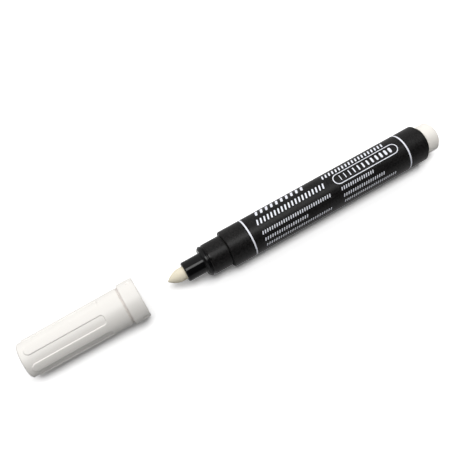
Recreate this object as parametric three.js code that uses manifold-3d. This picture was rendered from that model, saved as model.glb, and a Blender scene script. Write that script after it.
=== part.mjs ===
// A capillary permanent marker with its cap pulled off, lying on a table.
// Millimetres, +Z up, +X from the nib towards the rear of the marker.
// The origin is on the table, under the middle of the whole object.

import * as THREE from 'three';
import { mergeVertices } from 'three/addons/utils/BufferGeometryUtils.js';
import Module from 'manifold-3d';

// Barrel: one black moulding with a stepped neck at its front.
const barrelLength = 88.42; // shoulder to rear rim
const barrelDiameter = 14.6; // at the rear, its widest
const barrelTaper = 0.35; // diameter lost towards the shoulder
const barrelWall = 1.6; // at the rear
const shoulderRound = 0.45;
const rearRimRound = 1.4;
const neckLength = 7.88;
const neckDiameter = 11.85;
const neckWall = 1.325;
const neckEdgeRound = 0.3;
const reliefWidth = 0.5; // of the ring sunk between the neck and the shoulder
const reliefShare = 1 / 3; // of the neck's wall, which that ring takes
const frontWall = 2.0; // behind the shoulder, where the neck's bore opens into the barrel's

// Nib holder: a glossy insert pushed into the neck, with a bead that stops on its rim.
const beadStep = 0.05; // of its edge below the neck's
const beadThickness = 1.65;
const beadRound = 0.7; // of its front edge
const beadBackRound = 0.3;
const beadGrooveWidth = 0.25;
const beadGrooveDepth = 0.3;
const sleeveWall = 1.25;
const sleeveLength = 7.6;
const sleeveEdgeRound = 0.35;
const stemLength = 8.5;
const stemEdgeRound = 0.5;
const ventCount = 4;
const ventWidth = 0.6;
const ventDepth = 0.45;
const ventFrontLand = 1.5; // unbroken ring left round the nib at the sleeve's front

// Nib: a bullet of bonded felt, with a long tail that reaches into the ink reservoir.
const nibDiameter = 5.1;
const nibReach = 7.0; // out of the sleeve
const nibLength = 36;
const bulletLength = 5.0;
const bulletFullness = 1.6;
const bulletBluntness = 0.8;
const bulletStepPower = 1.5; // steps lie closer near the tip
const nibTailTaper = 1.6;

// Ink reservoir: a fibre rod in a thin film, with a breather tube along its side.
const filmThickness = 0.2;
const breatherDiameter = 1.6;
const breatherBore = 1.0;

// End plug: a white cup pressed into the rear, whose stub holds the cap while writing.
const plugStubLength = 5.8;
const plugEndRound = 1.0;
const plugInsertRound = 0.45;
const plugInsertLength = 7.0;
const plugWall = 0.9;
const plugLipWidth = 0.2; // over the rim of the barrel
const plugLipThickness = 0.4;

// Cap: a fluted shell with a thicker collar round its mouth.
const capLength = 45.2;
const capWall = 1.05;
const capEndWall = 1.4;
const capTaper = 0.35; // radius lost between the mouth and the closed end
const collarLength = 6.15;
const collarWall = 1.65;
const collarRound = 0.4;
const collarGrooveWidth = 0.5;
const collarGrooveDepth = 0.26;
const capEndRound = 0.5;
const mouthChamfer = 0.4;
const fluteCount = 6;
const fluteShare = 0.5; // of each pitch, the rest is a raised finger
const fluteDepth = 0.36;
const fluteStart = 7.75; // from the collar's groove
const fluteCornerRound = 1.2; // at its closed end
const fingerSetback = 2.15; // of the finger tips from the closed end
const fluteTurn = THREE.MathUtils.degToRad(22.5); // from the top, towards the near side

// Cap liner: a soft cup held in the cap, which shuts round the sleeve and keeps the nib wet.
const linerWall = 0.8;
const linerFloor = 0.9;
const linerFlange = 1.2;
const linerLeadIn = 0.5;
const linerBeadGap = 1.3; // to the bead, cap closed
const linerNibGap = 2.4; // to the nib's tip, cap closed
const capRibThickness = 1.0;
const capRibOverlap = 0.7; // under the liner's floor
const rootShare = 1 / 3; // of the cap's wall, which its fingers and ribs are rooted in

// Clearances
const pressGap = 0.05; // between parts that are pushed together and stay
const slideGap = 0.28; // radial, cap over neck
const postGap = 0.43; // radial, cap over the stub at the rear
const sealGap = 0.3; // radial, liner over sleeve
const looseGap = 0.3; // round a part that only lies in its place
const capRestGap = 10.9; // cap's mouth to the nib's tip, as it lies open
const capShutGap = 0.3; // cap's mouth to the shoulder, cap closed

// Finishes
const blackMatte = { color: '#1b1b1c', roughness: 0.62 };
const blackGloss = { color: '#101012', roughness: 0.22 };
const creamFelt = { color: '#efe9da', roughness: 0.95 };
const paleFibre = { color: '#e9e6df', roughness: 0.95 };
const clearFilm = { color: '#dfe5e8', roughness: 0.25 };
const naturalTube = { color: '#e6ebee', roughness: 0.3 };
const plugWhite = { color: '#f1efea', roughness: 0.5 };
const capWhite = { color: '#f4f2ee', roughness: 0.45 };
const linerWhite = { color: '#f7f7f5', roughness: 0.55 };

// Facets
const turnedSides = 48;
const reservoirSides = 24;
const tubeSides = 12;
const arcStep = 0.55; // longest straight piece of a rounded edge
const bulletSteps = 9;
const fluteEndSteps = 5;

// Places along the marker, from the shoulder. The cap's own start at its mouth.
const beadFront = -(neckLength + beadGrooveWidth + beadThickness);
const sleeveFront = beadFront - sleeveLength;
const nibTip = sleeveFront - nibReach;
const nibTail = nibTip + nibLength;
const plugEnd = barrelLength + plugStubLength;
const reservoirFront = frontWall + pressGap;
const reservoirRear = barrelLength - plugInsertLength - pressGap;
const mouthAtRest = nibTip - capRestGap;
const linerMouth = beadFront - linerBeadGap + capShutGap;
const linerInnerEnd = nibTip - linerNibGap + capShutGap;
const linerOuterEnd = linerInnerEnd - linerFloor;

const barrelRadius = barrelDiameter / 2;
const barrelBoreRadius = barrelRadius - barrelWall;
const neckRadius = neckDiameter / 2;
const neckBoreRadius = neckRadius - neckWall;
const nibRadius = nibDiameter / 2;
const sleeveRadius = nibRadius + sleeveWall;
const filmOuterRadius = barrelBoreRadius - 2 * pressGap;
const reservoirRadius = filmOuterRadius - filmThickness - pressGap;
const capMouthRadius = neckRadius + slideGap;
const collarRadius = capMouthRadius + collarWall;
const stubRadius = capMouthRadius - postGap;
const linerBoreRadius = sleeveRadius + sealGap;
const linerOuterRadius = linerBoreRadius + linerWall;

const wasm = await Module();
wasm.setup();

// Each corner is [along, radius, rounding]. A rounded corner becomes an arc of that radius.
function outline(corners, closed) {
  const count = corners.length;
  const points = [];
  corners.forEach(([along, radius, rounding = 0], index) => {
    const corner = new THREE.Vector2(along, radius);
    if (rounding <= 0) {
      points.push(corner);
      return;
    }
    const before = new THREE.Vector2(...corners[(index + count - 1) % count]).sub(corner).normalize();
    const after = new THREE.Vector2(...corners[(index + 1) % count]).sub(corner).normalize();
    const halfAngle = Math.acos(before.dot(after)) / 2;
    const middle = before.clone().add(after).normalize();
    const centre = middle.multiplyScalar(rounding / Math.sin(halfAngle)).add(corner);
    const tangentLength = rounding / Math.tan(halfAngle);
    const start = before.multiplyScalar(tangentLength).add(corner).sub(centre);
    const sweep = Math.PI - 2 * halfAngle;
    const turn = start.cross(after) > 0 ? sweep : -sweep;
    const steps = Math.max(2, Math.ceil((rounding * sweep) / arcStep));
    for (let step = 0; step <= steps; step += 1) {
      const point = start.clone().rotateAround(new THREE.Vector2(), (turn * step) / steps);
      points.push(point.add(centre));
    }
  });
  if (closed) points.push(points[0].clone());
  return points;
}

// Turns an outline about X. The flats touch the true circle, and one of them faces straight down.
function turned(points, sides = turnedSides) {
  const toCorner = 1 / Math.cos(Math.PI / sides);
  const profile = points.map((point) => new THREE.Vector2(point.y * toCorner, point.x));
  const geometry = new THREE.LatheGeometry(profile, sides, Math.PI / sides);
  return geometry.rotateZ(-Math.PI / 2);
}

function toSolid(geometry) {
  const bare = geometry.clone();
  bare.deleteAttribute('normal');
  bare.deleteAttribute('uv');
  const merged = mergeVertices(bare);
  return new wasm.Manifold(new wasm.Mesh({
    numProp: 3,
    vertProperties: new Float32Array(merged.attributes.position.array),
    triVerts: new Uint32Array(merged.index.array),
  }));
}

function toGeometry(solid) {
  const mesh = solid.getMesh();
  const geometry = new THREE.BufferGeometry();
  geometry.setAttribute('position', new THREE.BufferAttribute(mesh.vertProperties, 3));
  geometry.setIndex(new THREE.BufferAttribute(mesh.triVerts, 1));
  geometry.computeVertexNormals();
  return geometry;
}

function cutFrom(geometry, cutters) {
  const start = toSolid(geometry);
  return toGeometry(cutters.reduce((solid, cutter) => solid.subtract(toSolid(cutter)), start));
}

function piece(name, geometry, finish) {
  const material = new THREE.MeshStandardMaterial({ ...finish, metalness: 0 });
  const mesh = new THREE.Mesh(geometry, material);
  mesh.name = name;
  return mesh;
}

function barrel() {
  const rimRound = Math.min(rearRimRound, barrelWall - plugLipWidth);
  const reliefRadius = neckRadius - neckWall * reliefShare;
  const corners = [
    [-neckLength, neckBoreRadius],
    [-neckLength, neckRadius, neckEdgeRound],
    [-reliefWidth, neckRadius],
    [-reliefWidth, reliefRadius],
    [0, reliefRadius],
    [0, barrelRadius - barrelTaper / 2, shoulderRound],
    [barrelLength, barrelRadius, rimRound],
    [barrelLength, barrelBoreRadius],
    [frontWall, barrelBoreRadius],
    [frontWall, neckBoreRadius],
  ];
  return piece('barrel', turned(outline(corners, true)), blackMatte);
}

function nibHolder() {
  const beadRadius = neckRadius - beadStep;
  const beadBack = beadFront + beadThickness;
  const stemRadius = neckBoreRadius - pressGap;
  const stopFace = -neckLength - pressGap;
  const stemEnd = stopFace + stemLength;
  const boreRadius = nibRadius + pressGap;
  const corners = [
    [sleeveFront, boreRadius],
    [sleeveFront, sleeveRadius, sleeveEdgeRound],
    [beadFront, sleeveRadius],
    [beadFront, beadRadius, beadRound],
    [beadBack, beadRadius, beadBackRound],
    [beadBack, beadRadius - beadGrooveDepth],
    [stopFace, beadRadius - beadGrooveDepth],
    [stopFace, stemRadius],
    [stemEnd, stemRadius, stemEdgeRound],
    [stemEnd, boreRadius],
  ];
  const ventStart = sleeveFront + ventFrontLand;
  const ventEnd = stemEnd + looseGap;
  const vents = Array.from({ length: ventCount }, (_, index) => {
    const slot = new THREE.BoxGeometry(ventEnd - ventStart, ventWidth, boreRadius + ventDepth);
    slot.translate((ventStart + ventEnd) / 2, 0, (boreRadius + ventDepth) / 2);
    return slot.rotateX(((index + 0.5) * 2 * Math.PI) / ventCount);
  });
  const geometry = cutFrom(turned(outline(corners, true)), vents);
  return piece('nib_holder', geometry, blackGloss);
}

function nib() {
  const points = [];
  for (let step = 0; step <= bulletSteps; step += 1) {
    const along = (step / bulletSteps) ** bulletStepPower;
    const fill = (1 - (1 - along) ** bulletFullness) ** bulletBluntness;
    points.push(new THREE.Vector2(nibTip + along * bulletLength, nibRadius * fill));
  }
  points.push(new THREE.Vector2(nibTail - nibTailTaper, nibRadius));
  points.push(new THREE.Vector2(nibTail, nibRadius - nibTailTaper / 2));
  points.push(new THREE.Vector2(nibTail, 0));
  return piece('nib', turned(points, reservoirSides), creamFelt);
}

function breatherPlace() {
  return reservoirRadius - breatherDiameter / 2 - pressGap;
}

function reservoir() {
  const pocketRadius = nibRadius + pressGap;
  const corners = [
    [reservoirFront, pocketRadius],
    [reservoirFront, reservoirRadius],
    [reservoirRear, reservoirRadius],
    [reservoirRear, 0],
    [nibTail + looseGap, 0],
    [nibTail + looseGap, pocketRadius],
  ];
  const grooveRadius = breatherDiameter / 2 + looseGap;
  const length = reservoirRear - reservoirFront + 2 * looseGap;
  const middle = (reservoirFront + reservoirRear) / 2;
  const round = new THREE.CylinderGeometry(grooveRadius, grooveRadius, length, tubeSides);
  round.rotateZ(Math.PI / 2).translate(middle, breatherPlace(), 0);
  const outward = new THREE.BoxGeometry(length, reservoirRadius, 2 * grooveRadius);
  outward.translate(middle, breatherPlace() + reservoirRadius / 2, 0);
  const points = outline(corners, false);
  points.push(points[0].clone());
  const geometry = cutFrom(turned(points, reservoirSides), [round, outward]);
  return piece('reservoir', geometry, paleFibre);
}

function reservoirFilm() {
  const corners = [
    [reservoirFront, filmOuterRadius - filmThickness],
    [reservoirFront, filmOuterRadius],
    [reservoirRear, filmOuterRadius],
    [reservoirRear, filmOuterRadius - filmThickness],
  ];
  return piece('reservoir_film', turned(outline(corners, true), reservoirSides), clearFilm);
}

function breatherTube() {
  const corners = [
    [reservoirFront, breatherBore / 2],
    [reservoirFront, breatherDiameter / 2],
    [reservoirRear, breatherDiameter / 2],
    [reservoirRear, breatherBore / 2],
  ];
  const mesh = piece('breather_tube', turned(outline(corners, true), tubeSides), naturalTube);
  mesh.position.y = breatherPlace();
  return mesh;
}

function endPlug() {
  const insertRadius = barrelBoreRadius - pressGap;
  const insertFront = barrelLength - plugInsertLength;
  const lipBack = barrelLength + pressGap;
  const lipEnd = lipBack + plugLipThickness;
  const corners = [
    [insertFront, insertRadius - plugWall],
    [insertFront, insertRadius, plugInsertRound],
    [lipBack, insertRadius],
    [lipBack, barrelBoreRadius + plugLipWidth],
    [lipEnd, barrelBoreRadius + plugLipWidth],
    [lipEnd, stubRadius],
    [plugEnd, stubRadius, plugEndRound],
    [plugEnd, 0],
    [plugEnd - capEndWall, 0],
    [plugEnd - capEndWall, insertRadius - plugWall],
  ];
  const points = outline(corners, false);
  points.push(points[0].clone());
  return piece('end_plug', turned(points), plugWhite);
}

// The cap's outside at a distance along it, before the flutes are sunk.
function capRadius(along) {
  return capMouthRadius + capWall - (capTaper * -along) / capLength;
}

function capBoreRadius(along) {
  return capMouthRadius - (capTaper * -along) / capLength;
}

// Everything that is cut away between the middles of two raised fingers: a flute whose closed end
// has rounded corners, and which widens at the other end round the tips of both fingers. It is
// drawn flat, with arc length across and distance from the mouth upwards, then bent round the cap.
function fluteCutter(turn) {
  const pitch = (2 * Math.PI) / fluteCount;
  const bendRadius = capRadius(-capLength);
  const half = (bendRadius * pitch * fluteShare) / 2;
  const middleOfFinger = (bendRadius * pitch) / 2;
  const tipRadius = middleOfFinger - half;
  const closedEnd = collarLength + collarGrooveWidth + fluteStart;
  const corner = Math.min(fluteCornerRound, half);
  const tips = capLength - fingerSetback - tipRadius;
  const shape = new THREE.Shape();
  shape.moveTo(half, closedEnd + corner);
  shape.lineTo(half, tips);
  shape.absarc(middleOfFinger, tips, tipRadius, Math.PI, Math.PI / 2, true);
  shape.lineTo(middleOfFinger + looseGap, tips + tipRadius);
  shape.lineTo(middleOfFinger + looseGap, capLength + looseGap);
  shape.lineTo(-middleOfFinger - looseGap, capLength + looseGap);
  shape.lineTo(-middleOfFinger - looseGap, tips + tipRadius);
  shape.absarc(-middleOfFinger, tips, tipRadius, Math.PI / 2, 0, true);
  shape.lineTo(-half, closedEnd + corner);
  shape.absarc(corner - half, closedEnd + corner, corner, Math.PI, 1.5 * Math.PI, false);
  shape.absarc(half - corner, closedEnd + corner, corner, 1.5 * Math.PI, 2 * Math.PI, false);
  const depth = capMouthRadius;
  const settings = { depth, bevelEnabled: false, curveSegments: fluteEndSteps };
  const geometry = new THREE.ExtrudeGeometry(shape, settings);
  const position = geometry.attributes.position;
  for (let index = 0; index < position.count; index += 1) {
    const angle = position.getX(index) / bendRadius;
    const along = -position.getY(index);
    const radius = capMouthRadius / 2 + position.getZ(index);
    position.setXYZ(index, along, radius * Math.sin(angle), radius * Math.cos(angle));
  }
  return geometry.rotateX(turn);
}

function cap() {
  const end = -capLength;
  const grooveFront = -collarLength - collarGrooveWidth;
  const innerEnd = end + capEndWall;
  const grooveRadius = capRadius(grooveFront) - collarGrooveDepth;
  const shell = outline([
    [end, 0],
    [end, capRadius(end) - fluteDepth, capEndRound],
    [grooveFront, capRadius(grooveFront) - fluteDepth],
    [grooveFront, grooveRadius],
    [-collarLength, grooveRadius],
    [-collarLength, collarRadius, collarRound / 2],
    [0, collarRadius, collarRound],
    [0, capMouthRadius + mouthChamfer],
    [-mouthChamfer, capMouthRadius],
    [innerEnd, capBoreRadius(innerEnd)],
    [innerEnd, 0],
  ], false);
  const sleeve = outline([
    [end, capBoreRadius(end) + capWall * rootShare],
    [end, capRadius(end)],
    [grooveFront, capRadius(grooveFront), collarRound / 2],
    [grooveFront, capBoreRadius(grooveFront) + capWall * rootShare],
  ], true);
  const pitch = (2 * Math.PI) / fluteCount;
  let fingers = toSolid(turned(sleeve));
  for (let index = 0; index < fluteCount; index += 1) {
    fingers = fingers.subtract(toSolid(fluteCutter(fluteTurn + index * pitch)));
  }
  let solid = toSolid(turned(shell)).add(fingers);
  const ribStart = linerOuterEnd - pressGap;
  const ribEnd = innerEnd - capEndWall * rootShare;
  const ribRoot = capBoreRadius(innerEnd) + capWall * rootShare;
  const ribTop = linerOuterRadius - capRibOverlap;
  for (let index = 0; index < fluteCount; index += 1) {
    const rib = new THREE.BoxGeometry(ribStart - ribEnd, capRibThickness, ribRoot - ribTop);
    rib.translate((ribStart + ribEnd) / 2, 0, (ribRoot + ribTop) / 2);
    solid = solid.add(toSolid(rib.rotateX(fluteTurn + (index + 0.5) * pitch)));
  }
  return piece('cap', toGeometry(solid), capWhite);
}

function capLiner() {
  const flangeBack = linerMouth - linerFlange;
  const corners = [
    [linerOuterEnd, 0],
    [linerOuterEnd, linerOuterRadius, linerLeadIn],
    [flangeBack, linerOuterRadius],
    [flangeBack, capBoreRadius(flangeBack) - pressGap],
    [linerMouth, capBoreRadius(flangeBack) - pressGap],
    [linerMouth, linerBoreRadius + linerLeadIn],
    [linerMouth - linerLeadIn, linerBoreRadius],
    [linerInnerEnd, linerBoreRadius],
    [linerInnerEnd, 0],
  ];
  return piece('cap_liner', turned(outline(corners, false)), linerWhite);
}

const marker = new THREE.Group();
marker.add(barrel(), nibHolder(), nib(), reservoir(), reservoirFilm(), breatherTube(), endPlug());
marker.position.z = barrelRadius;

const openCap = new THREE.Group();
openCap.add(cap(), capLiner());
openCap.position.set(mouthAtRest, 0, collarRadius);

const object = new THREE.Group();
object.add(marker, openCap);
const overallMiddle = (mouthAtRest - capLength + plugEnd) / 2;
object.position.x = -overallMiddle;

export default object;
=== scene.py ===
# %% [markdown]
# # An open permanent marker
# The marker lies on a white table with its cap pulled off in front of it. Almost every piece of a
# marker is turned or moulded round one axis, so most of this lesson is about one idea: a surface of
# revolution that is worked out with numpy on a grid, and what has to be added to that idea for the
# flutes of the cap and for the white print that lies on the barrel.
#
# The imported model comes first. It is the fixed frame that everything else is fitted to.

# %% Loading the frame
import math

import bpy
import numpy as np
from mathutils import Matrix, Vector


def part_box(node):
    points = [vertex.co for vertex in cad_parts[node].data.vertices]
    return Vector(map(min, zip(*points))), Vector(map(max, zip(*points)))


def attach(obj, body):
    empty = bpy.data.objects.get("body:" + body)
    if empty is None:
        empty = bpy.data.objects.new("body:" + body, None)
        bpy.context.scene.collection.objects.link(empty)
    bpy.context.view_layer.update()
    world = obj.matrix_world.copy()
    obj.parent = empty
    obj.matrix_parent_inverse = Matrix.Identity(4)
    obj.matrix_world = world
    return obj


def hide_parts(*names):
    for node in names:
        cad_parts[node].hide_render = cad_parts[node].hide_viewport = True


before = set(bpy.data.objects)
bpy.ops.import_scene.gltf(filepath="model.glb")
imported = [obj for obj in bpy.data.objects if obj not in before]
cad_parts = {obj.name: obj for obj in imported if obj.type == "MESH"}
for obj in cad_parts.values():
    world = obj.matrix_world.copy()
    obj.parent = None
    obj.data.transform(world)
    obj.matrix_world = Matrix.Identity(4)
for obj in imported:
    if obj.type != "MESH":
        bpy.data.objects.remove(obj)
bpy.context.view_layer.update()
MM = 0.001
print("nodes:", ", ".join(sorted(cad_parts)))

# %% [markdown]
# ## Where the axes are
# The barrel lies along X. Its box gives the height of its axis and its two radii, and the cap's box
# does the same for the cap. Lengths along the barrel are counted from its shoulder, towards the
# rear, and lengths along the cap from its mouth, towards the closed end.

# %% Axes and radii from the frame
barrel_low, barrel_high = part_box("barrel")
holder_low, holder_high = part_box("nib_holder")
nib_low, nib_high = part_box("nib")
plug_low, plug_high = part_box("end_plug")
cap_low, cap_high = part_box("cap")

NECK_LENGTH = 7.88
barrel_axis = (barrel_low.z + barrel_high.z) / 2 / MM
cap_axis = (cap_low.z + cap_high.z) / 2 / MM
shoulder_x = barrel_low.x / MM + NECK_LENGTH
mouth_x = cap_high.x / MM
barrel_length = barrel_high.x / MM - shoulder_x
barrel_radius = (barrel_high.z - barrel_low.z) / 2 / MM
cap_length = (cap_high.x - cap_low.x) / MM
collar_radius = (cap_high.z - cap_low.z) / 2 / MM
print(f"barrel {barrel_length:.1f} mm behind the shoulder, cap {cap_length:.1f} mm long")

# %% [markdown]
# ## Camera
# The camera stands where the photographer's did. A short lens close to the marker makes the cap
# look larger than the plug, so the distance matters as much as the direction. The direction is
# given by two angles, and the place by one point of the barrel's axis, by the pixel where that
# point shows and by its distance.

# %% Camera at the photographer's place
PHOTO_PIXELS = 460
FOCAL_PIXELS = 618
VIEW_AZIMUTH = math.radians(-30.55)
VIEW_ELEVATION = math.radians(69.1)
ANCHOR_PIXEL = (237.4, 243.2)
ANCHOR_BEHIND_SHOULDER = 4.89
ANCHOR_DISTANCE = 229.0
SENSOR = 36.0

anchor = Vector((shoulder_x + ANCHOR_BEHIND_SHOULDER, 0, barrel_axis)) * MM
back = Vector((
    math.sin(VIEW_AZIMUTH) * math.cos(VIEW_ELEVATION),
    -math.cos(VIEW_AZIMUTH) * math.cos(VIEW_ELEVATION),
    math.sin(VIEW_ELEVATION),
))
right = Vector((math.cos(VIEW_AZIMUTH), math.sin(VIEW_AZIMUTH), 0))
up = back.cross(right)
per_pixel = ANCHOR_DISTANCE * MM / FOCAL_PIXELS
aside = (ANCHOR_PIXEL[0] - PHOTO_PIXELS / 2) * per_pixel
below = (ANCHOR_PIXEL[1] - PHOTO_PIXELS / 2) * per_pixel
camera_place = anchor - right * aside + up * below + back * ANCHOR_DISTANCE * MM

camera_data = bpy.data.cameras.new("camera")
camera_data.sensor_width = SENSOR
camera_data.lens = FOCAL_PIXELS / PHOTO_PIXELS * SENSOR
camera_data.clip_start = 0.01
camera_data.dof.use_dof = False
camera = bpy.data.objects.new("camera", camera_data)
turned_to = Matrix((right, up, back)).transposed().to_4x4()
camera.matrix_world = Matrix.Translation(camera_place) @ turned_to
bpy.context.scene.collection.objects.link(camera)
bpy.context.scene.camera = camera
print(f"lens {camera_data.lens:.1f} mm, {ANCHOR_DISTANCE:.0f} mm from the barrel")

# %% [markdown]
# ## From profile to surface
# A lathe surface has two parameters, the way along its profile and the angle round the axis. On a
# grid of both, every point is (along, radius x sin, radius x cos), so the whole surface is a few
# array products. A profile is written as corners, and each corner may be rounded by an arc. An arc
# gets a point close to each of its ends, so that smooth shading stays flat on the flat parts.

# %% Profiles with rounded corners
ARC_ANGLE = math.radians(11)
GUARD = 0.02


def rounded(corners, closed=False):
    """Each corner is (along, radius, rounding) in mm. A rounded one becomes an arc that touches
    both sides: its centre lies on the bisector, rounding / sin(half angle) from the corner."""
    points = []
    count = len(corners)
    for index, (along, radius, *rounding) in enumerate(corners):
        corner = np.array((along, radius), float)
        if not rounding:
            points.append(corner[None])
            continue
        sides = []
        for other in (corners[index - 1], corners[(index + 1) % count]):
            side = np.array(other[:2], float) - corner
            sides.append(side / np.linalg.norm(side))
        half = math.acos(np.clip(sides[0] @ sides[1], -1, 1)) / 2
        reach = rounding[0] / math.tan(half)
        middle = sides[0] + sides[1]
        centre = corner + middle / np.linalg.norm(middle) * rounding[0] / math.sin(half)
        first = corner + sides[0] * reach
        last = corner + sides[1] * reach
        sweep = math.pi - 2 * half
        spoke = first - centre
        sign = np.sign(spoke[0] * sides[1][1] - spoke[1] * sides[1][0])
        turn = sign * sweep * np.linspace(0, 1, max(3, math.ceil(sweep / ARC_ANGLE) + 1))
        arc = np.stack((
            spoke[0] * np.cos(turn) - spoke[1] * np.sin(turn),
            spoke[0] * np.sin(turn) + spoke[1] * np.cos(turn),
        ), 1) + centre
        points += [(first + sides[0] * GUARD)[None], arc, (last + sides[1] * GUARD)[None]]
    points = np.concatenate(points)
    return np.concatenate((points, points[:1])) if closed else points


# %% [markdown]
# The profile is then turned. The radius may also differ from point to point of the grid, which is
# all that the flutes of the cap and the air channels of the nib holder need.

# %% Turning a profile about an axis
PLAIN_COLUMNS = 192


def turn_round(along, radius, axis_height, columns):
    """Turns a profile about an axis along X. The radius is one value a row, or a value for each
    point of the grid, where the surface isn't quite round."""
    angle = np.arange(columns) / columns * 2 * np.pi
    shape = (len(along), columns)
    radius = np.broadcast_to(radius if np.ndim(radius) == 2 else radius[:, None], shape)
    across = -radius * np.sin(angle)
    height = radius * np.cos(angle) + axis_height
    return np.stack((np.broadcast_to(along[:, None], shape), across, height), -1)


def lathe(corners, start_x, axis_height, columns=PLAIN_COLUMNS):
    """A closed profile in mm from start_x, turned round."""
    profile = rounded(corners, closed=True)
    return turn_round(start_x + profile[:, 0], profile[:, 1], axis_height, columns)


# %% [markdown]
# Blender wants a list of points and a list of faces. The four corners of every face come from the
# grid's own numbering, shifted by one row and by one column. A closed surface has a volume, the sum
# of the small pyramids from the origin to each face, and its sign says whether the faces point out.

# %% Faces of a grid
POLE_SIZE = 1e-6


def grid_faces(grid):
    """The grid has the shape (rows, columns, 3), in mm. Its columns always close on themselves.
    Its rows do where the first and the last are the same. A row that is one point is a pole."""
    ring = np.allclose(grid[0], grid[-1])
    poles = [not ring and np.ptp(grid[row], axis=0).max() < POLE_SIZE for row in (0, -1)]
    kept = grid[int(poles[0]):len(grid) - int(poles[1] or ring)]
    rows, columns = kept.shape[:2]
    here = np.arange(rows * columns).reshape(rows, columns)
    above = np.roll(here, -1, 0) if ring else here[1:]
    here_kept = here if ring else here[:-1]
    corners = (here_kept, above, np.roll(above, -1, 1), np.roll(here_kept, -1, 1))
    faces = [np.stack(corners, -1).reshape(-1, 4)]
    points = [kept.reshape(-1, 3)]
    for end in (0, -1):
        if poles[end]:
            pole = np.full(columns, rows * columns + len(points) - 1)
            fan = (pole, here[end], np.roll(here[end], -1), pole)
            faces.append(np.stack(fan if end == 0 else fan[::-1], -1))
            points.append(grid[end][:1])
    points, faces = np.concatenate(points), np.concatenate(faces)
    a, b, c, d = (points[faces[:, corner]] for corner in range(4))
    volume = (np.cross(b, c) * a).sum() + (np.cross(c, d) * a).sum()
    return points, faces if volume > 0 else faces[:, ::-1]


# %% [markdown]
# Each piece of the marker becomes one object. It is built in the frame's own millimetres with its
# origin left at zero, so nothing has to be moved into place afterwards. The edges of a moulding are
# sharp where two faces meet at more than 35 degrees and smooth elsewhere.

# %% A piece from one or more grids
SHARP = math.radians(35)


def new_piece(name, grids, body, material, replaces=()):
    """One object from one or more closed surfaces. It rides on a body of the frame, and may replace
    nodes of it."""
    all_points, all_faces, count = [], [], 0
    for points, faces in map(grid_faces, grids):
        all_points.append(points)
        all_faces += [list(dict.fromkeys(face)) for face in (faces + count).tolist()]
        count += len(points)
    mesh = bpy.data.meshes.new(name)
    mesh.from_pydata(np.concatenate(all_points) * MM, [], all_faces)
    mesh.polygons.foreach_set("use_smooth", np.ones(len(all_faces), bool))
    mesh.set_sharp_from_angle(angle=SHARP)
    mesh.materials.append(material)
    mesh.update()
    piece = bpy.data.objects.new(name, mesh)
    bpy.context.scene.collection.objects.link(piece)
    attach(piece, body)
    if replaces:
        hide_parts(*replaces)
    print(f"{name}: {len(mesh.vertices)} points, {len(mesh.polygons)} faces")
    return piece


# %% [markdown]
# ## Colours and nodes
# A colour is written as the hex value that a painter would pick on a screen, and turned to the
# linear value that light is worked out with. One helper adds a node, sets it and links it.

# %% Colour, node and material
def linear(hex_colour):
    """sRGB hex to linear RGBA: the curve is a straight line near black and a power above it."""
    values = [int(hex_colour[i:i + 2], 16) / 255 for i in (1, 3, 5)]
    return (*[v / 12.92 if v <= 0.04045 else ((v + 0.055) / 1.055) ** 2.4 for v in values], 1.0)


def add_node(tree, kind, links=(), **settings):
    """Adds a node. A setting is an input's value by name, with _ for a space, or an attribute. A
    link is (input, other node, its output)."""
    node = tree.nodes.new(kind)
    for name, value in settings.items():
        socket = node.inputs.get(name.replace("_", " "))
        if socket is not None and not hasattr(node, name):
            socket.default_value = value
        else:
            setattr(node, name, value)
    for socket, other, output in links:
        tree.links.new(other.outputs[output], node.inputs[socket])
    return node


def new_material(name, **principled):
    """A material whose Principled shader is set by keywords, with texture coordinates beside it."""
    material = bpy.data.materials.new(name)
    material.use_nodes = True
    shader = material.node_tree.nodes["Principled BSDF"]
    for socket, value in principled.items():
        shader.inputs[socket.replace("_", " ")].default_value = value
    place = add_node(material.node_tree, "ShaderNodeTexCoord")
    return material, material.node_tree, shader, place


# %% [markdown]
# Two things give a plastic its skin: a relief that is too fine to model, and a roughness that isn't
# the same everywhere. The relief is noise on the object's own coordinates, so its size can be given
# in millimetres. The roughness follows the same noise, or a place along the marker.

# %% Skin of a material
NOISE_MIDDLE = (0.3, 0.7)


def grain(tree, shader, place, size_mm, height_mm, stretch=(1, 1, 1), detail=2.0):
    """Fine moulded or fibrous relief: noise of that size in the object's millimetres, as bump."""
    scale = add_node(tree, "ShaderNodeMapping", [("Vector", place, "Object")],
                     Scale=tuple(1 / (size_mm * MM * s) for s in stretch))
    noise = add_node(tree, "ShaderNodeTexNoise", [("Vector", scale, "Vector")],
                     Scale=1.0, Detail=detail, Roughness=0.55)
    bump = add_node(tree, "ShaderNodeBump", [("Height", noise, "Fac")],
                    Strength=1.0, Distance=height_mm * MM)
    tree.links.new(bump.outputs["Normal"], shader.inputs["Normal"])
    return noise


def spread(tree, noise, low, high):
    """A value that follows a noise between two values. Most of a noise lies round its middle."""
    return add_node(tree, "ShaderNodeMapRange", [("Value", noise, "Fac")],
                    From_Min=NOISE_MIDDLE[0], From_Max=NOISE_MIDDLE[1], To_Min=low, To_Max=high)


def step_along(tree, place, first, last, before, after):
    """A value that passes smoothly from before to after, between two places along the marker, in
    millimetres behind the shoulder."""
    where = add_node(tree, "ShaderNodeSeparateXYZ", [("Vector", place, "Object")])
    return add_node(tree, "ShaderNodeMapRange", [("Value", where, "X")],
                    From_Min=(shoulder_x + first) * MM, From_Max=(shoulder_x + last) * MM,
                    To_Min=before, To_Max=after, interpolation_type="SMOOTHSTEP")


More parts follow.
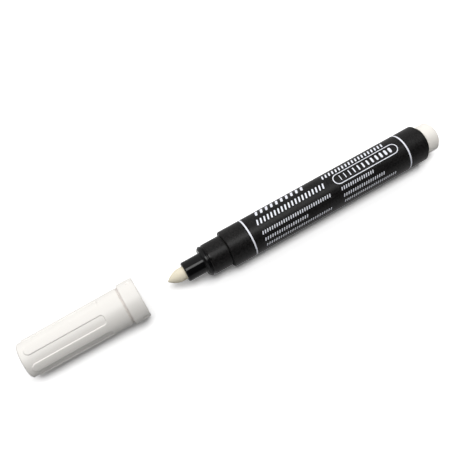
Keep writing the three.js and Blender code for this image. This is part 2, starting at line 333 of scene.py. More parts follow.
# %% [markdown]
# ## Finishes
# The barrel is polypropylene from a spark-eroded mould, which leaves a fine matte skin that spreads
# the lamp's reflection into a broad soft band. The front edge of its neck is brighter than the
# rest, and is drawn as worn smooth by the cap. The nib holder comes from a polished mould, so its
# sleeve shows that same lamp as one thin line, while its bead has more of a satin skin. The grain
# of the skins, some 0.05 mm, is finer than the picture can show, so it is drawn coarser, and the
# barrel's colour wavers with it. Places are in millimetres behind the shoulder.

# %% Black plastics
BARREL_ROUGHNESS = (0.38, 0.43)
WORN_ROUGHNESS = 0.1
WORN_EDGE = (-7.48, -6.78)
SLEEVE_ROUGHNESS = 0.12
BEAD_ROUGHNESS = 0.25
BEAD_FACE = (-9.98, -9.48)
SPECKS = (linear("#060505"), linear("#201f1f"))
barrel_black, tree, shader, place = new_material("matte_black_polypropylene", IOR=1.25)
noise = grain(tree, shader, place, size_mm=0.55, height_mm=0.012, detail=1.0)
specks = add_node(tree, "ShaderNodeValToRGB", [("Fac", noise, "Fac")])
for stop, at, colour in zip(specks.color_ramp.elements, NOISE_MIDDLE, SPECKS):
    stop.position, stop.color = at, colour
tree.links.new(specks.outputs["Color"], shader.inputs["Base Color"])
skin = spread(tree, noise, *BARREL_ROUGHNESS)
edge = step_along(tree, place, *WORN_EDGE, WORN_ROUGHNESS, BARREL_ROUGHNESS[1])
smoother = add_node(tree, "ShaderNodeMath", [(0, skin, "Result"), (1, edge, "Result")],
                    operation="MINIMUM")
tree.links.new(smoother.outputs["Value"], shader.inputs["Roughness"])

holder_black, tree, shader, place = new_material(
    "polished_black_polypropylene", Base_Color=linear("#09090a"), IOR=1.3)
grain(tree, shader, place, size_mm=1.2, height_mm=0.002)
satin = step_along(tree, place, *BEAD_FACE, SLEEVE_ROUGHNESS, BEAD_ROUGHNESS)
tree.links.new(satin.outputs["Result"], shader.inputs["Roughness"])
print("black:", barrel_black.name + ",", holder_black.name)

# %% [markdown]
# The cap is a white moulding with a satin skin, whose roughness wavers a little from place to
# place. The groove behind its collar gets painted shade: the colour passes through a darker,
# browner one there, so the groove looks deeper in shade than its own shape makes it. Its places
# are in millimetres behind the cap's mouth. The bore lies nearer to the axis, and has none.

# %% White of the cap
CAP_ROUGHNESS = (0.4, 0.46)
CAP_COLOUR = linear("#f0ede8")
# Painted shade: the groove behind the collar is darkened and browned to this colour.
GROOVE_SHADE_COLOUR = linear("#e1dbd6")
GROOVE_SHADE_PLACES = np.array([5.75, 6.1, 6.45, 7.0])
OUTSIDE = (6.5, 6.7)
cap_white, tree, shader, place = new_material("satin_white_polypropylene", IOR=1.42)
where = add_node(tree, "ShaderNodeSeparateXYZ", [("Vector", place, "Object")])
near_collar = add_node(tree, "ShaderNodeMapRange", [("Value", where, "X")],
                       From_Min=(mouth_x - GROOVE_SHADE_PLACES[0]) * MM,
                       From_Max=(mouth_x - GROOVE_SHADE_PLACES[-1]) * MM)
# A ramp of painted shade along the cap, dark over the groove behind the collar.
groove_shade_ramp = add_node(tree, "ShaderNodeValToRGB", [("Fac", near_collar, "Result")])
groove_shade_ramp.color_ramp.interpolation = "EASE"
stops = groove_shade_ramp.color_ramp.elements
stops[1].position = 1.0
for share in (GROOVE_SHADE_PLACES[1:-1] - GROOVE_SHADE_PLACES[0]) / np.ptp(GROOVE_SHADE_PLACES):
    stops.new(share)
for stop, colour in zip(stops, (CAP_COLOUR, GROOVE_SHADE_COLOUR, GROOVE_SHADE_COLOUR, CAP_COLOUR)):
    stop.color = colour
aside = add_node(tree, "ShaderNodeMapping", [("Vector", place, "Object")],
                 Location=(0, 0, -cap_axis * MM), Scale=(0, 1, 1))
from_axis = add_node(tree, "ShaderNodeVectorMath", [(0, aside, "Vector")], operation="LENGTH")
outside = add_node(tree, "ShaderNodeMapRange", [("Value", from_axis, "Value")],
                   From_Min=OUTSIDE[0] * MM, From_Max=OUTSIDE[1] * MM)
# The colours of a Mix node are its inputs 6 and 7 and its output 2.
paint = add_node(tree, "ShaderNodeMix", [("Factor", outside, "Result"), (7, groove_shade_ramp, "Color")],
                 data_type="RGBA")
paint.inputs[6].default_value = CAP_COLOUR
tree.links.new(paint.outputs[2], shader.inputs["Base Color"])
skin = spread(tree, grain(tree, shader, place, size_mm=0.3, height_mm=0.003), *CAP_ROUGHNESS)
tree.links.new(skin.outputs["Result"], shader.inputs["Roughness"])
print(f"{cap_white.name}: painted_shade from {GROOVE_SHADE_PLACES[0]} to {GROOVE_SHADE_PLACES[-1]} mm behind the mouth")

# %% [markdown]
# The plug has the same satin skin as the cap. The liner is the same kind of plastic, but without
# any pigment, so it is greyer.

# %% White of the plug and of the liner
PLUG_ROUGHNESS = (0.38, 0.47)
plug_white, tree, shader, place = new_material(
    "satin_white_polyethylene", Base_Color=linear("#f7f3ec"), IOR=1.5)
skin = spread(tree, grain(tree, shader, place, size_mm=0.3, height_mm=0.003), *PLUG_ROUGHNESS)
tree.links.new(skin.outputs["Result"], shader.inputs["Roughness"])

liner_natural, tree, shader, place = new_material(
    "natural_polyethylene", Base_Color=linear("#eef0ee"), Roughness=0.45, IOR=1.51)
grain(tree, shader, place, size_mm=0.4, height_mm=0.003)
print("white:", plug_white.name + ",", liner_natural.name)

# %% [markdown]
# The nib is polyester fibre, bonded with resin and ground to a bullet. It is matte all over, with
# fine pits and strands that run along it. Print ink is a flat white that stands a hair proud.

# %% Felt and ink
nib_felt, tree, shader, place = new_material(
    "bonded_polyester_felt", Base_Color=linear("#eee6cf"), Roughness=0.95, IOR=1.45)
noise = grain(tree, shader, place, size_mm=0.16, height_mm=0.05, stretch=(3.5, 1, 1), detail=4.0)
tint = add_node(tree, "ShaderNodeMix", [("Factor", noise, "Fac")], data_type="RGBA")
tint.inputs[6].default_value = linear("#e0d6bb")
tint.inputs[7].default_value = linear("#f5eedb")
tree.links.new(tint.outputs[2], shader.inputs["Base Color"])

print_ink, tree, shader, place = new_material(
    "white_printing_ink", Base_Color=linear("#eceef6"), Roughness=0.5, IOR=1.5)
grain(tree, shader, place, size_mm=0.1, height_mm=0.003)
print("matte:", nib_felt.name + ",", print_ink.name)

# %% [markdown]
# The ink rod, its film and its breather tube can't be seen in the closed marker. Their meshes stay
# the frame's own, and they only get finishes: long fibres, a clear foil and a drawn tube.

# %% Hidden pieces inside
reservoir_fibre, tree, shader, place = new_material(
    "polyester_reservoir_fibre", Base_Color=linear("#e6e2d8"), Roughness=0.95, IOR=1.45)
grain(tree, shader, place, size_mm=0.12, height_mm=0.04, stretch=(12, 1, 1), detail=3.0)

clear_film, tree, shader, place = new_material(
    "clear_wrapping_film", Base_Color=linear("#dfe6ea"), Roughness=0.2, IOR=1.49, Alpha=0.45)
grain(tree, shader, place, size_mm=2.0, height_mm=0.02, stretch=(4, 1, 1))

tube_natural, tree, shader, place = new_material(
    "extruded_natural_tube", Base_Color=linear("#e3e9ec"), Roughness=0.35, IOR=1.5)
grain(tree, shader, place, size_mm=0.8, height_mm=0.004, stretch=(8, 1, 1))

for node, finish in (("reservoir", reservoir_fibre), ("reservoir_film", clear_film),
                     ("breather_tube", tube_natural)):
    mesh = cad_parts[node].data
    mesh.materials.clear()
    mesh.materials.append(finish)
    print(f"{node}: {finish.name}")

# %% [markdown]
# ## Barrel
# One moulding: a slightly tapered tube, a step down to the neck that the cap grips, and a rounded
# rear rim. A narrow ring is sunk at the neck's root, which shows as a black line in front of the
# shoulder. The bore is modelled too, so that the piece is a real closed wall.

# %% Barrel profile
BARREL_TAPER = 0.175
BARREL_WALL = 1.6
FRONT_RADIUS = barrel_radius - BARREL_TAPER
BORE_RADIUS = barrel_radius - BARREL_WALL
SHOULDER_ROUND = 0.45
REAR_RIM_ROUND = 1.4
NECK_RADIUS = 5.925
NECK_BORE_RADIUS = 4.6
NECK_EDGE_ROUND = 0.3
RELIEF_WIDTH = 0.5
RELIEF_RADIUS = NECK_RADIUS - (NECK_RADIUS - NECK_BORE_RADIUS) / 3
FRONT_WALL = 2.0
SMALL_ROUND = 0.08

barrel_grid = lathe([
    (-NECK_LENGTH, NECK_BORE_RADIUS),
    (-NECK_LENGTH, NECK_RADIUS, NECK_EDGE_ROUND),
    (-RELIEF_WIDTH, NECK_RADIUS, SMALL_ROUND),
    (-RELIEF_WIDTH, RELIEF_RADIUS),
    (0, RELIEF_RADIUS),
    (0, FRONT_RADIUS, SHOULDER_ROUND),
    (barrel_length, barrel_radius, REAR_RIM_ROUND),
    (barrel_length, BORE_RADIUS),
    (FRONT_WALL, BORE_RADIUS),
    (FRONT_WALL, NECK_BORE_RADIUS),
], shoulder_x, barrel_axis)
new_piece("barrel_moulding", [barrel_grid], "marker", barrel_black, ["barrel"])

# %% [markdown]
# ## Nib holder
# The holder is pushed into the neck until its bead meets the rim. Four narrow channels beside the
# nib let air in as ink flows out. They are a wave in the bore's radius, so the grid stays a grid.

# %% Nib holder with its air channels
holder_front = holder_low.x / MM - shoulder_x
holder_rear = holder_high.x / MM - shoulder_x
PRESS_GAP = 0.05
BEAD_FRONT = -9.78
BEAD_THICKNESS = 1.65
BEAD_BACK = BEAD_FRONT + BEAD_THICKNESS
BEAD_ROUND = 0.7
BEAD_BACK_ROUND = 0.3
BEAD_GROOVE = 0.3
BEAD_RADIUS = (holder_high.z - holder_low.z) / 2 / MM
SLEEVE_RADIUS = 3.8
SLEEVE_EDGE_ROUND = 0.35
STEM_RADIUS = NECK_BORE_RADIUS - PRESS_GAP
STEM_EDGE_ROUND = 0.5
HOLDER_BORE = 2.6
CHANNEL_WIDTH = 0.6
CHANNEL_DEPTH = 0.45
CHANNEL_LAND = 1.5
CHANNEL_START = holder_front + CHANNEL_LAND
CHANNEL_EDGE = 0.08
CHANNEL_FRONT = 0.1
QUARTER = math.pi / 2
HOLDER_COLUMNS = 240

STOP_FACE = -NECK_LENGTH - PRESS_GAP
profile = rounded([
    (holder_front, HOLDER_BORE, SMALL_ROUND),
    (holder_front, SLEEVE_RADIUS, SLEEVE_EDGE_ROUND),
    (BEAD_FRONT, SLEEVE_RADIUS, SMALL_ROUND),
    (BEAD_FRONT, BEAD_RADIUS, BEAD_ROUND),
    (BEAD_BACK, BEAD_RADIUS, BEAD_BACK_ROUND),
    (BEAD_BACK, BEAD_RADIUS - BEAD_GROOVE),
    (STOP_FACE, BEAD_RADIUS - BEAD_GROOVE),
    (STOP_FACE, STEM_RADIUS),
    (holder_rear, STEM_RADIUS, STEM_EDGE_ROUND),
    (holder_rear, HOLDER_BORE),
    (CHANNEL_START + CHANNEL_FRONT, HOLDER_BORE),
    (CHANNEL_START, HOLDER_BORE),
], closed=True)
along, radius = profile.T
angle = np.arange(HOLDER_COLUMNS) / HOLDER_COLUMNS * 2 * np.pi
from_channel = np.abs((angle + QUARTER / 2) % QUARTER - QUARTER / 2) * HOLDER_BORE
in_channel = np.clip((CHANNEL_WIDTH / 2 - from_channel) / CHANNEL_EDGE + 0.5, 0, 1)
is_bore = np.isclose(radius, HOLDER_BORE) & (along > CHANNEL_START + CHANNEL_FRONT / 2)
radius = radius[:, None] + is_bore[:, None] * in_channel * CHANNEL_DEPTH
holder_grid = turn_round(shoulder_x + along, radius, barrel_axis, HOLDER_COLUMNS)
new_piece("nib_holder_moulding", [holder_grid], "marker", holder_black,
          ["nib_holder"])

# %% [markdown]
# ## Nib
# A bullet: the radius grows from the tip as a power curve and runs out into the plain rod. The
# grinding leaves the surface a little uneven, which a sum of sines gives without any random draw.

# %% Bullet nib
nib_tip = nib_low.x / MM - shoulder_x
nib_tail = nib_high.x / MM - shoulder_x
NIB_RADIUS = (nib_high.z - nib_low.z) / 2 / MM
BULLET = 5.0
FULLNESS = 1.6
BLUNTNESS = 0.8
TAIL_TAPER = 1.6
UNEVEN = 0.0025
NIB_COLUMNS = 160
NIB_ROWS = 44
share = np.linspace(0, 1, NIB_ROWS) ** 2
fill = (1 - (1 - share) ** FULLNESS) ** BLUNTNESS
along = np.concatenate((nib_tip + share * BULLET, [nib_tail - TAIL_TAPER, nib_tail, nib_tail]))
radius = np.concatenate((NIB_RADIUS * fill, [NIB_RADIUS, NIB_RADIUS - TAIL_TAPER / 2, 0]))
angle = np.arange(NIB_COLUMNS) / NIB_COLUMNS * 2 * np.pi
uneven = (np.sin(7 * angle + along[:, None] * 2.1) + np.sin(13 * angle - along[:, None] * 3.7)
          + np.sin(4 * angle + along[:, None] * 5.3))
radius = radius[:, None] * (1 - UNEVEN * (uneven + 3))
nib_grid = turn_round(shoulder_x + along, radius, barrel_axis, NIB_COLUMNS)
new_piece("bullet_nib", [nib_grid], "marker", nib_felt, ["nib"])

# %% [markdown]
# ## End plug
# A cup pressed into the rear. Its lip covers the rim of the bore, and shows as a thin pale line
# where the stub meets the black barrel.

# %% End plug
plug_front = plug_low.x / MM - shoulder_x
plug_rear = plug_high.x / MM - shoulder_x
STUB_RADIUS = 5.775
INSERT_RADIUS = BORE_RADIUS - PRESS_GAP
INSERT_WALL = 0.9
INSERT_BORE = INSERT_RADIUS - INSERT_WALL
INSERT_ROUND = 0.45
LIP_WIDTH = 0.2
LIP_THICKNESS = 0.4
LIP_RADIUS = BORE_RADIUS + LIP_WIDTH
LIP_FRONT = barrel_length + PRESS_GAP
LIP_BACK = LIP_FRONT + LIP_THICKNESS
END_WALL = 1.4
PLUG_END_ROUND = 1.0
PLUG_FLOOR = plug_rear - END_WALL
plug_grid = lathe([
    (plug_front, INSERT_BORE),
    (plug_front, INSERT_RADIUS, INSERT_ROUND),
    (LIP_FRONT, INSERT_RADIUS),
    (LIP_FRONT, LIP_RADIUS, SMALL_ROUND),
    (LIP_BACK, LIP_RADIUS, SMALL_ROUND),
    (LIP_BACK, STUB_RADIUS, SMALL_ROUND),
    (plug_rear, STUB_RADIUS, PLUG_END_ROUND),
    (plug_rear, 0),
    (PLUG_FLOOR, 0),
    (PLUG_FLOOR, INSERT_BORE, INSERT_ROUND),
], shoulder_x, barrel_axis)
new_piece("end_plug_moulding", [plug_grid], "marker", plug_white, ["end_plug"])

# %% [markdown]
# ## Cap
# The cap is a round shell with six flutes sunk into it. Each flute is one long slot, whose end
# towards the mouth is straight with rounded corners. At the closed end of the cap the flutes run
# together round the tips of six raised fingers. A slot that is drawn on a flat strip has a simple
# distance to its edge, so the strip is measured flat, with the arc length across, and the depth is
# a smooth step of that distance. The grid needs close rows only where the flutes begin and end.

# %% Sizes of the cap
BODY_RADIUS = 7.255
CAP_TAPER = 0.35
MOUTH_RADIUS = 6.205
COLLAR_LENGTH = 6.15
GROOVE_WIDTH = 0.5
GROOVE_DEPTH = 0.26
COLLAR_ROUND = 0.4
CAP_END_ROUND = 0.5
MOUTH_CHAMFER = 0.4
FLUTES = 6
FLUTE_DEPTH = 0.36
FLUTE_EDGE = 0.34
FLUTE_CORNER = 1.2
FLUTE_TURN = math.radians(22.5)
PITCH = 2 * math.pi / FLUTES
BEND_RADIUS = BODY_RADIUS - CAP_TAPER
FLUTE_HALF = BEND_RADIUS * PITCH / 4
FINGER_MIDDLE = BEND_RADIUS * PITCH / 2
PLAIN_LENGTH = 7.75
FLUTE_START = COLLAR_LENGTH + GROOVE_WIDTH + PLAIN_LENGTH
FINGER_SETBACK = 2.15
FINGER_TIPS = cap_length - FINGER_SETBACK - FLUTE_HALF
CAP_COLUMNS = 480
LINER_MOUTH = 10.78
LINER_FLOOR = 26.48
LINER_END = 27.38
cap_angle = np.arange(CAP_COLUMNS) / CAP_COLUMNS * 2 * np.pi
print(f"flutes {2 * FLUTE_HALF:.1f} mm wide, from {FLUTE_START:.1f} mm behind the mouth")

# %% [markdown]
# Distances inside an edge are cut off smoothly, so that the wall of a flute is a small slope, as a
# mould has it, and not a jump between two rows of the grid.

# %% Depth of the flutes
def narrowing(along):
    """How much radius the taper has taken at a distance from the mouth."""
    return CAP_TAPER * along / cap_length


def smooth_step(value):
    """0 below 0, 1 above 1, and 3v^2 - 2v^3 between."""
    value = np.clip(value, 0, 1)
    return value * value * (3 - 2 * value)


def inside_corners(aside, ahead, corner):
    """Distance inside a rounded rectangle, from the distances inside two of its sides: the corner's
    radius less the way out of the corner circles' own rectangle."""
    return corner - np.hypot(np.maximum(corner - aside, 0), np.maximum(corner - ahead, 0))


def flute_depth(along):
    """Distance inside the edge of the nearest flute, on the flat strip. Rounded corners close the
    flute at its start, two straight sides follow, and quarter circles go round the finger tips."""
    turned_away = (cap_angle - FLUTE_TURN + PITCH / 2) % PITCH - PITCH / 2
    aside = np.abs(turned_away) * BEND_RADIUS
    along = along[:, None]
    flute = inside_corners(FLUTE_HALF - aside, along - FLUTE_START, FLUTE_CORNER)
    tips = np.hypot(FINGER_MIDDLE - aside, along - FINGER_TIPS) - (FINGER_MIDDLE - FLUTE_HALF)
    inside = np.where(along > FINGER_TIPS, tips, flute)
    return FLUTE_DEPTH * smooth_step(inside / FLUTE_EDGE + 0.5)


# %% [markdown]
# The collar has small sunk marks. Two show from the camera's side, and what they are for can't be
# seen. They lie about a third of a turn apart, so a third one on the far side is guessed. They use
# the same trick, with a rounded rectangle in place of the slot.

# %% Marks in the collar
MARK_ALONG = 1.9
MARK_LENGTH = 1.6
MARK_WIDTH = 1.5
MARK_ROUND = 0.3
MARK_DEPTH = 0.28
MARK_EDGE = 0.16
MARK_TURN = math.radians(-38)
THIRD = 2 * math.pi / 3


def mark_depth(along):
    """Distance inside a small rounded rectangle, which is repeated three times round the collar."""
    turned_away = (cap_angle - MARK_TURN + THIRD / 2) % THIRD - THIRD / 2
    aside = MARK_WIDTH / 2 - np.abs(turned_away) * collar_radius
    ahead = MARK_LENGTH / 2 - np.abs(along[:, None] - MARK_ALONG)
    return MARK_DEPTH * smooth_step(inside_corners(aside, ahead, MARK_ROUND) / MARK_EDGE + 0.5)


# %% [markdown]
# The whole cap is one closed surface. Its rows start in the middle of the inner end, run along the
# bore to the mouth, over the collar, along the fluted outside and in to the middle of the closed
# end. Six short ribs stand in the bore behind the liner, and stop it.

# %% The cap's bore and its ribs
RIB_RADIUS = 4.2
RIB_HALF = 0.5
RIB_EDGE = 0.1
RIB_FRONT = LINER_END + PRESS_GAP
inner_end = cap_length - END_WALL
groove_back = COLLAR_LENGTH + GROOVE_WIDTH
groove_radius = BODY_RADIUS - narrowing(groove_back) - GROOVE_DEPTH
end_radius = BODY_RADIUS - CAP_TAPER - FLUTE_DEPTH

from_rib = (cap_angle - FLUTE_TURN) % PITCH - PITCH / 2
on_rib = smooth_step((RIB_HALF - np.abs(from_rib) * RIB_RADIUS) / RIB_EDGE + 0.5)
inner_along = np.array([inner_end, inner_end, RIB_FRONT, RIB_FRONT, MOUTH_CHAMFER, 0])
bore = MOUTH_RADIUS - narrowing(inner_along)
bore[-1] = MOUTH_RADIUS + MOUTH_CHAMFER
inner = np.repeat(bore[:, None], CAP_COLUMNS, 1)
inner[1:3] -= on_rib * (inner[1:3] - RIB_RADIUS)
inner[0] = 0
print(f"bore {inner_end:.1f} mm deep, ribs from {RIB_FRONT:.1f} mm")

# %% [markdown]
# The rows of the outside lie closer together where a mark or the end of a flute needs them. The
# plain numbers beside the names are the gaps in millimetres where close rows give way to wide ones.

# %% The cap as one surface
MARK_STEP = 0.08
CORNER_STEP = 0.07
TIP_STEP = 0.09
MARK_ROWS = np.arange(0.9, 3.0, MARK_STEP)
rim = rounded([
    (0, MOUTH_RADIUS + MOUTH_CHAMFER),
    (0, collar_radius, COLLAR_ROUND),
    (MARK_ROWS[0], collar_radius),
])[1:-1]
neck = rounded([
    (MARK_ROWS[-1] + 0.2, collar_radius),
    (COLLAR_LENGTH, collar_radius, COLLAR_ROUND / 2),
    (COLLAR_LENGTH, groove_radius),
    (groove_back, groove_radius),
    (groove_back, BODY_RADIUS - narrowing(groove_back), COLLAR_ROUND / 2),
    (FLUTE_START - 0.4, BODY_RADIUS - narrowing(FLUTE_START)),
])
fluted = np.concatenate((
    np.arange(FLUTE_START - 0.3, FLUTE_START + FLUTE_CORNER + 0.2, CORNER_STEP),
    np.linspace(FLUTE_START + FLUTE_CORNER + 0.4, FINGER_TIPS - 0.4, 12),
    np.arange(FINGER_TIPS - 0.3, cap_length - 1.9, TIP_STEP),
    np.linspace(cap_length - 1.8, cap_length - 0.6, 3),
))
tail = rounded([
    (cap_length - 1, end_radius),
    (cap_length, end_radius, CAP_END_ROUND),
    (cap_length, 0),
])[1:]

along = np.concatenate((inner_along, rim[:, 0], MARK_ROWS, neck[:, 0], fluted, tail[:, 0]))
plain = np.concatenate((rim[:, 1], np.full(len(MARK_ROWS), collar_radius), neck[:, 1],
                        BODY_RADIUS - narrowing(fluted), tail[:, 1]))
radius = np.concatenate((inner, np.repeat(plain[:, None], CAP_COLUMNS, 1)))
first_marked = len(inner_along) + len(rim)
first_fluted = first_marked + len(MARK_ROWS) + len(neck)
radius[first_marked:first_marked + len(MARK_ROWS)] -= mark_depth(MARK_ROWS)
radius[first_fluted:first_fluted + len(fluted)] -= flute_depth(fluted)
cap_grid = turn_round(mouth_x - along, radius, cap_axis, CAP_COLUMNS)
new_piece("cap_shell", [cap_grid], "cap", cap_white, ["cap"])

# %% [markdown]
# ## Cap liner
# A soft inner cup. It closes round the slim sleeve of the nib holder and keeps the nib wet.

# %% Cap liner
LINER_BORE = 4.1
LINER_OUTSIDE = 4.9
LINER_FLANGE = 1.2
LINER_LEAD = 0.5
LINER_ROUND = 0.15
flange_back = LINER_MOUTH + LINER_FLANGE
flange_radius = MOUTH_RADIUS - narrowing(flange_back) - PRESS_GAP
liner = rounded([
    (LINER_END, 0),
    (LINER_END, LINER_OUTSIDE, LINER_LEAD),
    (flange_back, LINER_OUTSIDE, LINER_ROUND),
    (flange_back, flange_radius, LINER_ROUND),
    (LINER_MOUTH, flange_radius, LINER_ROUND),
    (LINER_MOUTH, LINER_BORE + LINER_LEAD, LINER_ROUND),
    (LINER_MOUTH + LINER_LEAD, LINER_BORE, LINER_ROUND),
    (LINER_FLOOR, LINER_BORE, LINER_LEAD),
    (LINER_FLOOR, 0),
])
liner_grid = turn_round(mouth_x - liner[:, 0], liner[:, 1], cap_axis, PLAIN_COLUMNS)
new_piece("cap_liner_moulding", [liner_grid], "cap", liner_natural,
          ["cap_liner"])

# %% [markdown]
# ## Print
# The white print is ink on the barrel. Painting it into the barrel's material would work, but as
# thin solids it keeps a crisp edge in every view and comes through in the meshes. It is drawn flat,
# in millimetres behind the shoulder and in millimetres round from the top, and then wrapped round
# the barrel.

# %% Wrapping a flat place round the barrel
INK_TOP = 0.015
INK_ROOT = -0.05


def on_barrel(along, round_by, lift):
    """Wraps a flat place round the tapered barrel: the angle from the top towards the near side is
    the arc length over the radius, and the lift is the height over the surface."""
    surface = FRONT_RADIUS + (barrel_radius - FRONT_RADIUS) * along / barrel_length
    angle = round_by / barrel_radius
    radius = surface + lift
    height = barrel_axis + radius * np.cos(angle)
    return np.stack((shoulder_x + along, -radius * np.sin(angle), height), -1)


# %% [markdown]
# There are three kinds of mark. A straight bar is the first, and slanted hatching is a row of bars.
# Long bars get more rows, so that they bend round the barrel and don't sink into it.

# %% Bars and hatching
INK_STEP = 0.45
LEAN = 1 / 3


def bar(first, last, width):
    """A straight bar with round ends from one flat place to another. Its half width at a distance
    from the nearer end is that of a circle, sqrt(r^2 - (r - distance)^2), and r in between."""
    first, last = np.array(first, float), np.array(last, float)
    length = np.linalg.norm(last - first)
    ahead = (last - first) / length
    full = width / 2
    round_end = np.linspace(0, 1, 5) ** 2 * full
    between = np.linspace(full, length - full, max(2, math.ceil(length / INK_STEP)))[1:-1]
    reach = np.concatenate((round_end, between, length - round_end[::-1]))[:, None]
    to_end = np.minimum(np.minimum(reach, length - reach), full)
    half = np.sqrt(full ** 2 - (full - to_end) ** 2)
    aside = half * np.array([-1, 0, 1, 1, 0, -1])
    lift = np.where(half > 0, np.array([INK_TOP] * 3 + [INK_ROOT] * 3), 0)
    return on_barrel(first[0] + reach * ahead[0] - aside * ahead[1],
                     first[1] + reach * ahead[1] + aside * ahead[0], lift)


def hatch(start, end, round_by, height, pitch, width):
    """A row of parallel slanted bars, each leaning forward by a third of its height."""
    top, foot = round_by + height / 2, round_by - height / 2
    return [bar((place, top), (place + height * LEAN, foot), width)
            for place in np.arange(start, end, pitch)]


# %% [markdown]
# The other two are closed bands: an outline with round ends, and a ring round the whole barrel.

# %% Outlines and rings
ROUND_END_POINTS = 15
RING_POINTS = 160


def track(start, end, round_by, height, line):
    """An outline with round ends: two half circles whose centres are moved apart, at the outer and
    the inner radius of the line."""
    half_turns = np.linspace((-0.5, 0.5), (0.5, 1.5), ROUND_END_POINTS).T.reshape(-1, 1) * math.pi
    moved = np.repeat([1, -1], ROUND_END_POINTS)[:, None] * (end - start - height) / 2
    radius = height / 2 + np.array([-1, 1, 1, -1]) * line / 2
    along = (start + end) / 2 + moved + radius * np.cos(half_turns)
    lift = np.array([INK_TOP, INK_TOP, INK_ROOT, INK_ROOT]) + 0 * along
    grid = on_barrel(along, round_by + radius * np.sin(half_turns), lift)
    return np.concatenate((grid, grid[:1]))


def ring(middle, line):
    """A band all the way round, as a closed cross-section turned about the axis."""
    along = middle + np.array([-1, 1, 1, -1, -1])[:, None] * line / 2
    lift = np.array([INK_TOP, INK_TOP, INK_ROOT, INK_ROOT, INK_TOP])[:, None]
    round_by = np.arange(RING_POINTS) / RING_POINTS * 2 * np.pi * barrel_radius
    return on_barrel(along + 0 * round_by, round_by + 0 * along, lift + 0 * round_by)


# %% [markdown]
# Two rings run all the way round. Between them lie an outline that holds a row of bars from fine to
# broad, and rows of slanted hatching, each given by its start, its end, its way round from the top
# and its kind. The rows on the near side are finer than the ones on top.

# %% Where each mark of the print lies
FRONT_RING = 9.22
REAR_RING = 78.82
RING_LINE = 0.62
LABEL = (47.02, 75.72)
LABEL_ROUND_BY = -0.7
LABEL_HEIGHT = 4.3
LABEL_LINE = 0.36
BARS = 12
BAR_HALF = 1.15
BAR_PLACES = np.linspace(LABEL[0] + 2.9, LABEL[1] - 3.2, BARS)
BAR_WIDTHS = np.linspace(0.3, 1.15, BARS)
COARSE = dict(height=2.3, pitch=1.5, width=0.6)
FINE = dict(height=1.35, pitch=1.0, width=0.42)
BOLD = dict(height=3.0, pitch=2.2, width=0.95)
ROWS = [
    (13.52, 42.72, -1.1, COARSE),
    (13.52, 43.22, 3.4, FINE),
    (13.52, 31.72, 6.2, FINE),
    (13.52, 42.22, 8.95, FINE),
    (48.02, 62.72, 3.4, FINE),
    (48.02, 66.72, 6.2, FINE),
    (48.02, 71.22, 8.95, FINE),
    (15.22, 36.72, -5.6, BOLD),
    (44.22, 72.72, -4.9, COARSE),
]

marks = [ring(FRONT_RING, RING_LINE), ring(REAR_RING, RING_LINE),
         track(*LABEL, LABEL_ROUND_BY, LABEL_HEIGHT, LABEL_LINE)]
marks += [bar((place, LABEL_ROUND_BY - BAR_HALF), (place, LABEL_ROUND_BY + BAR_HALF), width)
          for place, width in zip(BAR_PLACES, BAR_WIDTHS)]
for start, end, round_by, kind in ROWS:
    marks += hatch(start, end, round_by, **kind)
new_piece("barrel_print", marks, "marker", print_ink)

# %% [markdown]
# ## Studio
# A black barrel beside a white cap asks for two things at once: a white table, and little light
# thrown back by it, or the dark sides of the barrel turn grey. The table therefore has two colours.
# A ray that shows the table finds it white, and a ray that carries its light finds it darker. A
# reflection on the plastics takes a part of each.

# %% Which rays show the background
def seen_rays(tree, in_gloss=1.0):
    """1 for a ray that shows the background straight or through glass, in_gloss for a reflected
    one, and 0 for a ray that only carries light."""
    ray = add_node(tree, "ShaderNodeLightPath")
    mirrored = add_node(tree, "ShaderNodeMath", [(0, ray, "Is Glossy Ray")], operation="MULTIPLY")
    mirrored.inputs[1].default_value = in_gloss
    seen = add_node(tree, "ShaderNodeMath", [(0, ray, "Is Camera Ray"), (1, mirrored, "Value")],
                    operation="MAXIMUM")
    return add_node(tree, "ShaderNodeMath", [(0, seen, "Value"), (1, ray, "Is Transmission Ray")],
                    operation="MAXIMUM")


# %% [markdown]
# The table has a faint glow of its own in the rays that show it. It lifts the darkest part of the
# shadow under the marker, as the bright room behind the photographer does. Away from the marker the
# table turns to plain white for the camera, so that its rim can't be seen in views from low down.

# %% The table's finish
TABLE_LIGHT = 0.45
TABLE_SEEN = 1.18
TABLE_GLOW = 0.09
TABLE_IN_GLOSS = 0.3
FADE = (0.5, 1.2)
white_table = bpy.data.materials.new("white_table")
white_table.use_nodes = True
tree = white_table.node_tree
tree.nodes.clear()
seen = seen_rays(tree, TABLE_IN_GLOSS)
tone = add_node(tree, "ShaderNodeMix", [("Factor", seen, "Value")], data_type="RGBA")
tone.inputs[6].default_value = (TABLE_LIGHT, TABLE_LIGHT, TABLE_LIGHT, 1)
tone.inputs[7].default_value = (TABLE_SEEN, TABLE_SEEN, TABLE_SEEN, 1)
matte = add_node(tree, "ShaderNodeBsdfDiffuse", [("Color", tone, 2)])
lift = add_node(tree, "ShaderNodeMath", [(0, seen, "Value")], operation="MULTIPLY")
lift.inputs[1].default_value = TABLE_GLOW
glow = add_node(tree, "ShaderNodeEmission", [("Strength", lift, "Value")])
near = add_node(tree, "ShaderNodeAddShader", [(0, matte, "BSDF"), (1, glow, "Emission")])
place = add_node(tree, "ShaderNodeTexCoord")
distance = add_node(tree, "ShaderNodeVectorMath", [(0, place, "Object")], operation="LENGTH")
away = add_node(tree, "ShaderNodeMapRange", [("Value", distance, "Value")],
                From_Min=FADE[0], From_Max=FADE[1])
ray = add_node(tree, "ShaderNodeLightPath")
fade = add_node(tree, "ShaderNodeMath", [(0, away, "Result"), (1, ray, "Is Camera Ray")],
                operation="MULTIPLY")
white = add_node(tree, "ShaderNodeEmission")
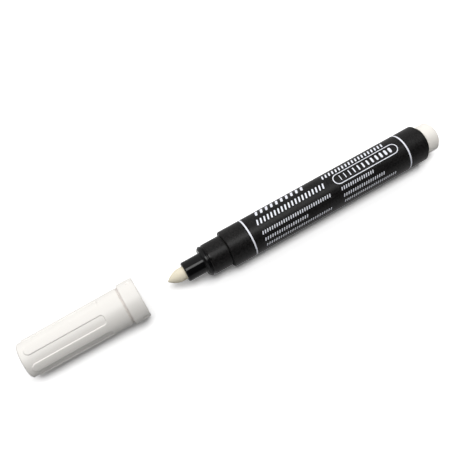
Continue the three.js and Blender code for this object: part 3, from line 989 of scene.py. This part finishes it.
table = add_node(tree, "ShaderNodeMixShader",
                 [(0, fade, "Value"), (1, near, "Shader"), (2, white, "Emission")])
add_node(tree, "ShaderNodeOutputMaterial", [("Surface", table, "Shader")])
print(f"table: {TABLE_SEEN} where it is seen, {TABLE_LIGHT} for the light it throws back")

# %% [markdown]
# The table itself is one large face at height zero, and not a piece of the marker.

# %% The table
HALF_TABLE = 4.0
corners = np.array([(-1, -1, 0), (1, -1, 0), (1, 1, 0), (-1, 1, 0)]) * HALF_TABLE
floor_mesh = bpy.data.meshes.new("floor")
floor_mesh.from_pydata(corners, [], [(0, 1, 2, 3)])
floor_mesh.materials.append(white_table)
floor = bpy.data.objects.new("floor", floor_mesh)
bpy.context.scene.collection.objects.link(floor)
print(f"table {2 * HALF_TABLE:.0f} m wide")

# %% [markdown]
# The room is bright on the far side of the marker, where a window or a wall would be, and dim
# behind the camera. That bright side is what the cap and the plug show along their upper edge. Near
# the horizon a haze carries the white of the table on in reflections, and the camera itself sees a
# plain white background.

# %% World
FAR_SIDE = (0.05, 0.9)
FAR_SIDE_BAND = (-0.05, 0.45)
HAZE = 0.85
HAZE_BAND = (0.07, 0.15)
world = bpy.data.worlds.new("studio")
bpy.context.scene.world = world
world.use_nodes = True
tree = world.node_tree
background = tree.nodes["Background"]
direction = add_node(tree, "ShaderNodeTexCoord")
split = add_node(tree, "ShaderNodeSeparateXYZ", [("Vector", direction, "Generated")])
far_side = add_node(tree, "ShaderNodeMapRange", [("Value", split, "Y")],
                    From_Min=FAR_SIDE_BAND[0], From_Max=FAR_SIDE_BAND[1],
                    To_Min=FAR_SIDE[0], To_Max=FAR_SIDE[1], interpolation_type="SMOOTHSTEP")
haze = add_node(tree, "ShaderNodeMapRange", [("Value", split, "Z")],
                From_Min=HAZE_BAND[0], From_Max=HAZE_BAND[1], To_Min=HAZE, To_Max=0.0,
                interpolation_type="SMOOTHSTEP")
haze = add_node(tree, "ShaderNodeMath", [(0, haze, "Result"), (1, seen_rays(tree), "Value")],
                operation="MULTIPLY")
room = add_node(tree, "ShaderNodeMath", [(0, far_side, "Result"), (1, haze, "Value")],
                operation="MAXIMUM")
ray = add_node(tree, "ShaderNodeLightPath")
shown = add_node(tree, "ShaderNodeMath", [(0, room, "Value"), (1, ray, "Is Camera Ray")],
                 operation="MAXIMUM")
tree.links.new(shown.outputs["Value"], background.inputs["Strength"])
background.inputs["Color"].default_value = (1, 1, 1, 1)
print(f"world: strength {FAR_SIDE[0]} to {FAR_SIDE[1]} from the near to the far side")

# %% [markdown]
# One long softbox hangs over the marker, a little to its far side. Its length gives the unbroken
# highlight along the barrel, and its width sets how softly the shadow under the near side ends.

# %% Key light
KEY_PLACE = Vector((0.1, 0.06, 3.0))
KEY_SIZE = (2.4, 1.2)
KEY_WATTS = 66
key_data = bpy.data.lights.new("strip_softbox", "AREA")
key_data.shape = "RECTANGLE"
key_data.size, key_data.size_y = KEY_SIZE
key_data.energy = KEY_WATTS
key = bpy.data.objects.new("strip_softbox", key_data)
key.location = KEY_PLACE
bpy.context.scene.collection.objects.link(key)
bpy.context.scene.view_settings.view_transform = "Standard"
print(f"softbox {KEY_SIZE[0]} by {KEY_SIZE[1]} m, {KEY_WATTS} W")
